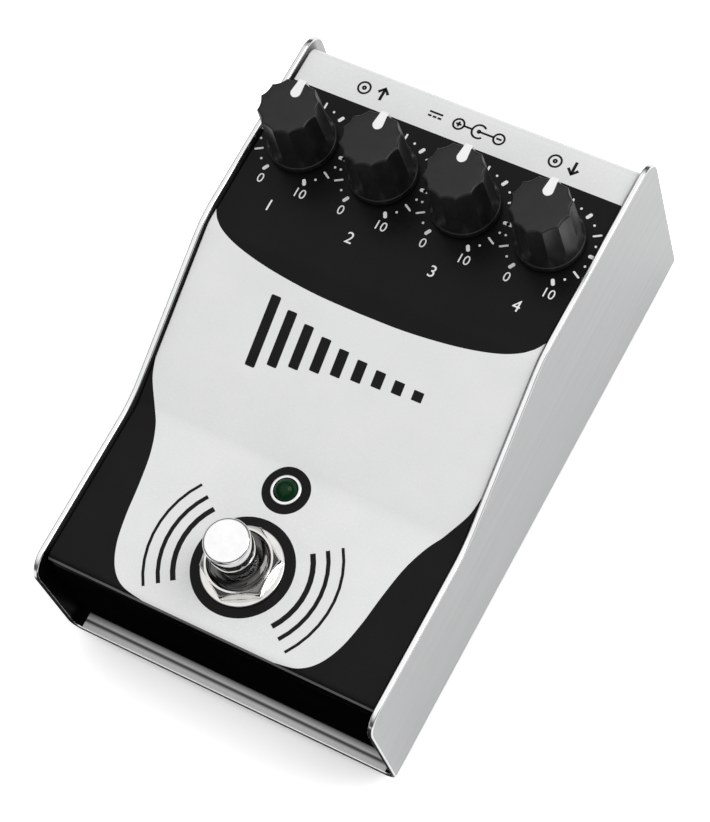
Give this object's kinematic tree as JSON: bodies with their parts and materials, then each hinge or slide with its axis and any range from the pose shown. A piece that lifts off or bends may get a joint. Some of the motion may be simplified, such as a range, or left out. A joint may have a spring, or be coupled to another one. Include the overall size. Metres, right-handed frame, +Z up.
{
  "type": "delay pedal",
  "caption": "Sheet metal effects pedal: a painted ramp panel with turning dials, a sprung footswitch and a status light, nested in a U-bent chassis with jacks at the rear.",
  "frame": {"origin": "under the middle of the case, where the rubber feet stand", "axes": "+X the player's right, +Y from the footswitch to the jacks at the rear, +Z up"},
  "size_m": [0.0778, 0.124, 0.0634],
  "materials": {
    "satin_steel": "satin",
    "panel_white": "semi-gloss",
    "panel_black": "semi-gloss",
    "panel_ink": "semi-gloss",
    "foot_rubber": "matt",
    "zinc_steel": "bright zinc",
    "knob_plastic": "fine matt",
    "pointer_white": "gloss",
    "shaft_metal": "turned",
    "can_steel": "tin plated",
    "bush_brass": "turned",
    "nickel_plate": "nickel plated",
    "wafer_board": "matt",
    "switch_chrome": "polished",
    "switch_plastic": "satin",
    "spring_steel": "drawn wire",
    "contact_brass": "plain",
    "lens_green": "clear gloss",
    "bezel_metal": "turned",
    "black_plastic": "fine matt",
    "board_green": "solder resist",
    "capacitor_sleeve": "gloss",
    "battery_case": "printed sleeve",
    "foam": "open cell",
    "lead_red": "satin",
    "lead_white": "satin",
    "lead_yellow": "satin"
  },
  "bodies": {
    "case": {"chassis": "satin_steel", "top_panel": "panel_white", "rubber_feet": "foot_rubber", "panel_screws": "zinc_steel", "clinch_nuts": "zinc_steel", "footswitch_lock_nut": "zinc_steel", "level_pot": "can_steel", "time_pot": "can_steel", "repeat_pot": "can_steel", "tone_pot": "can_steel", "pot_bushes": "bush_brass", "pot_nuts": "nickel_plate", "pot_washers": "nickel_plate", "pot_pins": "nickel_plate", "input_jack_bush": "nickel_plate", "output_jack_bush": "nickel_plate", "jack_nuts": "nickel_plate", "jack_washers": "nickel_plate", "supply_jack_pin": "nickel_plate", "pot_wafers": "wafer_board", "footswitch_bush": "switch_chrome", "footswitch_nut": "switch_chrome", "footswitch_washer": "switch_chrome", "footswitch_body": "switch_plastic", "footswitch_spring": "spring_steel", "footswitch_lugs": "contact_brass", "jack_contacts": "contact_brass", "supply_jack_spring": "contact_brass", "led_lens": "lens_green", "led_bezel": "bezel_metal", "input_jack": "black_plastic", "output_jack": "black_plastic", "supply_jack": "black_plastic", "supply_jack_nut": "black_plastic", "delay_chip": "black_plastic", "op_amp_chips": "black_plastic", "regulator": "black_plastic", "battery_snap": "black_plastic", "main_board": "board_green", "capacitors": "capacitor_sleeve", "battery": "battery_case", "battery_pad": "foam", "battery_leads": "lead_red", "jack_leads": "lead_red", "led_leads": "lead_white", "switch_leads": "lead_yellow"},
    "level_dial": {"level_knob": "knob_plastic", "level_pointer": "pointer_white", "level_shaft": "shaft_metal"},
    "time_dial": {"time_knob": "knob_plastic", "time_pointer": "pointer_white", "time_shaft": "shaft_metal"},
    "repeat_dial": {"repeat_knob": "knob_plastic", "repeat_pointer": "pointer_white", "repeat_shaft": "shaft_metal"},
    "tone_dial": {"tone_knob": "knob_plastic", "tone_pointer": "pointer_white", "tone_shaft": "shaft_metal"},
    "footswitch_plunger": {"footswitch_button": "switch_chrome"}
  },
  "joints": [
    {"name": "level_turn", "type": "hinge", "parent": "case", "child": "level_dial", "pos_m": [-0.02805, 0.0379, 0.0483], "axis": [0, 0, 1], "range_deg": [-150, 150]},
    {"name": "time_turn", "type": "hinge", "parent": "case", "child": "time_dial", "pos_m": [-0.00935, 0.0379, 0.0483], "axis": [0, 0, 1], "range_deg": [-150, 150]},
    {"name": "repeat_turn", "type": "hinge", "parent": "case", "child": "repeat_dial", "pos_m": [0.00935, 0.0379, 0.0483], "axis": [0, 0, 1], "range_deg": [-150, 150]},
    {"name": "tone_turn", "type": "hinge", "parent": "case", "child": "tone_dial", "pos_m": [0.02805, 0.0379, 0.0483], "axis": [0, 0, 1], "range_deg": [-150, 150]},
    {"name": "footswitch_press", "type": "slide", "parent": "case", "child": "footswitch_plunger", "axis": [0, 0, -1], "range_m": [0, 0.003], "stiffness_N_per_m": 6000, "deforming": ["footswitch_spring"]}
  ]
}
